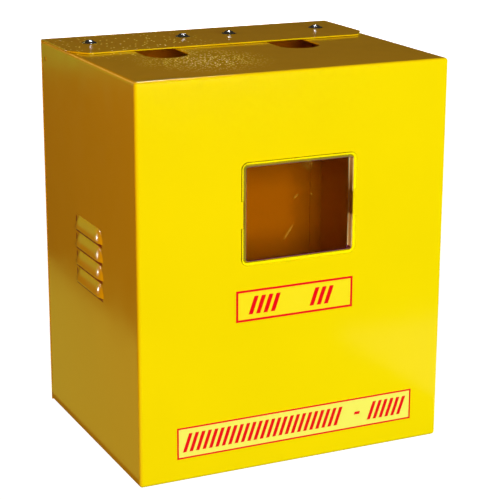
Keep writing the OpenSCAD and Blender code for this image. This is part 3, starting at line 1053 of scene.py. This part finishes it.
# ---------------------------------------------------------------- stage, light and camera
def stage_sheet(name, points, faces, material):
    """A surface that belongs to the studio."""
    mesh = bpy.data.meshes.new(name)
    mesh.from_pydata(points, [], faces)
    obj = placed(name, mesh)
    obj.data.materials.append(material)
    return obj


def level_sheet(name, centre, half_x, half_y, material):
    """A level rectangle round its centre."""
    x, y, z = centre
    corners = [(x - half_x, y - half_y, z), (x + half_x, y - half_y, z),
               (x + half_x, y + half_y, z), (x - half_x, y + half_y, z)]
    return stage_sheet(name, corners, [(0, 1, 2, 3)], material)


def backdrop(half, low, high, material):
    """Four upright walls round the floor: a square's corners at two heights."""
    corners = [(-half, -half), (half, -half), (half, half), (-half, half)]
    points = [(x, y, z) for z in (low, high) for x, y in corners]
    walls = [(i, (i + 1) % 4, (i + 1) % 4 + 4, i + 4) for i in range(4)]
    return stage_sheet("backdrop", points, walls, material)


def plain(name, colour, rough, shine, glow):
    """A matt surface that gives off some light of its own."""
    f = Finish(
        name, Base_Color=colour, Roughness=rough, IOR=1.3,
        Emission_Color=shine, Emission_Strength=glow,
    )
    return f.material


def soft_light(name, place, aim, size, power, colour, accent=False):
    """A flat light at a place, turned to a point. It lights the surfaces and shows in none of
    them, or as an accent shows in the glossy ones and lights none."""
    data = bpy.data.lights.new(name, "AREA")
    data.shape = "RECTANGLE"
    data.size, data.size_y = size
    data.energy = power
    data.color = colour
    obj = placed(name, data)
    obj.location = place
    obj.rotation_euler = (Vector(aim) - Vector(place)).to_track_quat("-Z", "Y").to_euler()
    obj.visible_camera = False
    obj.visible_glossy = accent
    obj.visible_diffuse = not accent


def camera():
    """A long lens that looks at the cabinet from the left, the front and a little above."""
    azimuth = math.radians(-25.32)
    elevation = math.radians(16.18)
    roll = math.radians(0.24)
    distance = 1.3092
    aim_right = 0.00888
    aim_down = 0.00936
    away = np.array([
        math.sin(azimuth) * math.cos(elevation),
        -math.cos(azimuth) * math.cos(elevation),
        math.sin(elevation),
    ])
    right = np.cross([0, 0, 1], away)
    right /= np.linalg.norm(right)
    up = np.cross(away, right)
    rolled_right = math.cos(roll) * right + math.sin(roll) * up
    rolled_up = math.cos(roll) * up - math.sin(roll) * right
    middle = np.array([0, FRONT_Y + 0.1, HEIGHT / 2])
    aim = middle + aim_right * rolled_right - aim_down * rolled_up
    data = bpy.data.cameras.new("camera")
    data.lens = 119.7
    data.sensor_width = 36
    obj = placed("camera", data)
    turn = np.identity(4)
    turn[:3] = np.column_stack([rolled_right, rolled_up, away, aim + distance * away])
    obj.matrix_world = Matrix(turn.tolist())
    bpy.context.scene.camera = obj


def studio():
    """White floor and walls that only the camera sees, low cards that the sides reflect, a large
    key light in front, a fill for each side, and small accents for the glints. Each light is given
    by its name, place, target, size, power and colour."""
    scene = bpy.context.scene
    scene.view_settings.view_transform = "Standard"
    world = bpy.data.worlds.new("studio")
    scene.world = world
    world.use_nodes = True
    ambient = world.node_tree.nodes["Background"]
    ambient.inputs["Color"].default_value = (1, 0.85, 0.5, 1)
    ambient.inputs["Strength"].default_value = 0.03

    white = plain("pale_floor", (0.6, 0.6, 0.6, 1), 0.9, (1, 1, 1, 1), 1.0)
    room_half = 6
    room_height = 8
    floor = level_sheet("floor", (0, 0, -0.6 * MM), room_half, room_half, white)
    for surface in (floor, backdrop(room_half, -10 * MM, room_height, white)):
        surface.visible_glossy = False
        surface.visible_diffuse = False
        surface.visible_shadow = False

    warm = plain("warm_card", (0.1, 0.1, 0.02, 1), 0.8, (0.7, 0.8, 0.09, 1), 0.8)
    pale = plain("pale_card", (0.1, 0.1, 0.1, 1), 0.8, (1, 1, 1, 1), 0.4)
    for name, x, y, half_x, half_y, material in (
        ("side_card", -0.19, 0.05, 0.06, 0.45, warm),
        ("rear_card", 0.165, 0.22, 0.285, 0.07, pale),
        ("right_card", 0.24, 0, 0.07, 0.35, pale),
    ):
        card = level_sheet(name, (x, y, -0.3 * MM), half_x, half_y, material)
        card.visible_camera = False
        card.visible_diffuse = False

    middle = (0, 0, HEIGHT / 2)
    louvres = (-HALF_W, 0, HEIGHT / 2)
    strip = (-0.05, 0, HEIGHT)
    white_light = (1, 1, 1)
    warm_white = (1.0, 0.93, 0.8)
    for fill in (
        ("key", (0.76, -2.85, 0.35), middle, (1.2, 1.0), 76, (0.64, 1.0, 0.75)),
        ("window_fill", (-0.82, -2.73, 0.92), middle, (0.6, 0.6), 42, (1.0, 0.52, 0.14)),
        ("side_fill", (-1.90, -0.60, 0.75), middle, (0.5, 0.5), 14, (1.0, 0.47, 0.12)),
        ("top_fill", (0, 0, 2.50), middle, (0.8, 0.8), 10, (1.0, 0.55, 0.15)),
        ("back_fill", (0.90, 2.60, 0.14), middle, (1.6, 0.26), 56, warm_white),
        ("right_fill", (2.60, -0.50, 0.14), middle, (1.2, 0.26), 32, warm_white),
    ):
        soft_light(*fill)
    for glint in (
        ("glint", (-1.52, 1.58, 0.09), louvres, (0.24, 0.05), 2.4, white_light),
        ("louvre_sheen", (-0.95, 1.60, 0.21), louvres, (0.7, 0.46), 0.70, (0.1, 1.0, 0.1)),
        ("bend_line", (-0.60, 1.80, 0.95), middle, (0.5, 0.3), 1.0, (1.0, 0.8, 0.2)),
        ("sparkle", (0.43, 0.83, 1.60), strip, (0.3, 0.3), 7, white_light),
    ):
        soft_light(*glint, accent=True)


camera()
studio()
